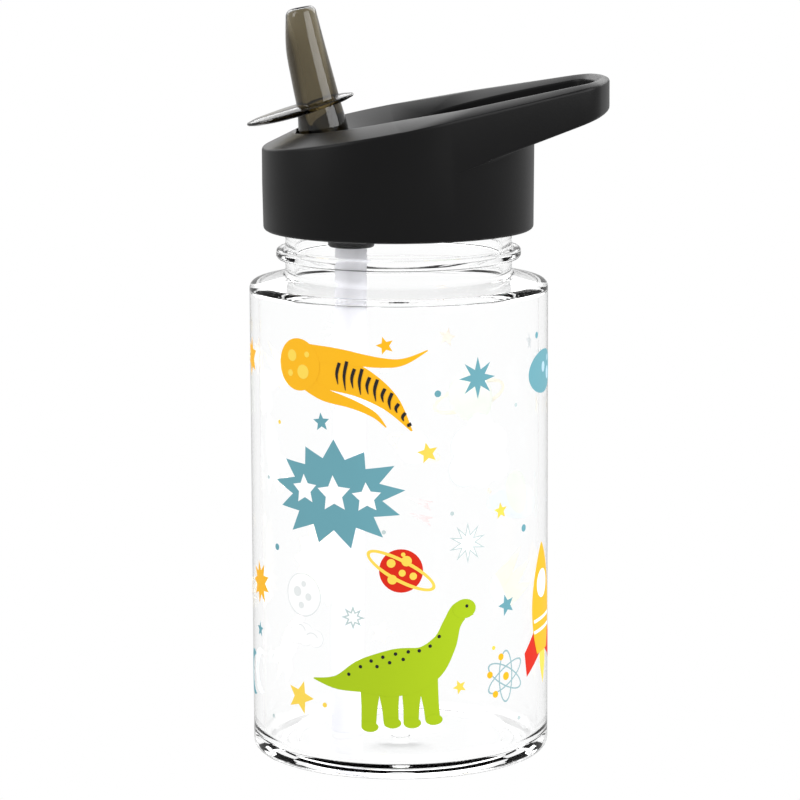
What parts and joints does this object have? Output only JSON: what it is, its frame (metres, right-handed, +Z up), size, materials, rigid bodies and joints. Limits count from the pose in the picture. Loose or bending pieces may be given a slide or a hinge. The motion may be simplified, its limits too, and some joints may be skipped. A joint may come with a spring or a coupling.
{
  "type": "kids water bottle",
  "caption": "Clear screw-neck drinks bottle with a black screw lid, sloping carry loop, folding smoke-tinted spout with finger tab, straw, collar, seals and air valve.",
  "frame": {"origin": "on the bottle's axis, at the plane that the bottle stands on", "axes": "+Z up the bottle's axis; the carry loop points to +X and the open spout leans to -X; the spout's hinge lies along +Y"},
  "size_m": [0.0866, 0.072, 0.1806],
  "materials": {
    "bottle": "clear gloss plastic, smooth",
    "lid": "black moulded plastic, fine matte texture",
    "spout": "smoke-tinted translucent plastic, glossy",
    "collar": "black plastic",
    "straw": "frosted translucent plastic",
    "seal": "milky silicone"
  },
  "bodies": {
    "bottle": {"bottle_body": "bottle"},
    "seal_ring": {"lid_gasket": "seal"},
    "lid": {"lid_shell": "lid", "spout_seal": "seal", "straw_collar": "collar", "straw": "straw", "vent_valve": "seal"},
    "spout": {"spout": "spout"}
  },
  "joints": [
    {"name": "lid_rise", "type": "slide", "parent": "bottle", "child": "seal_ring", "axis": [0, 0, 1], "range_m": [0, 0.00605]},
    {"name": "lid_turn", "type": "hinge", "parent": "seal_ring", "child": "lid", "pos_m": [0, 0, 0.1365], "axis": [0, 0, 1], "range_deg": [0, 540]},
    {"name": "spout_hinge", "type": "hinge", "parent": "lid", "child": "spout", "pos_m": [-0.0166, 0, 0.1449], "axis": [0, 1, 0], "range_deg": [0, 90]}
  ],
  "couplings": [
    {"joint": "lid_rise", "follows": "lid_turn", "m_per_rad": 0.00063662}
  ]
}
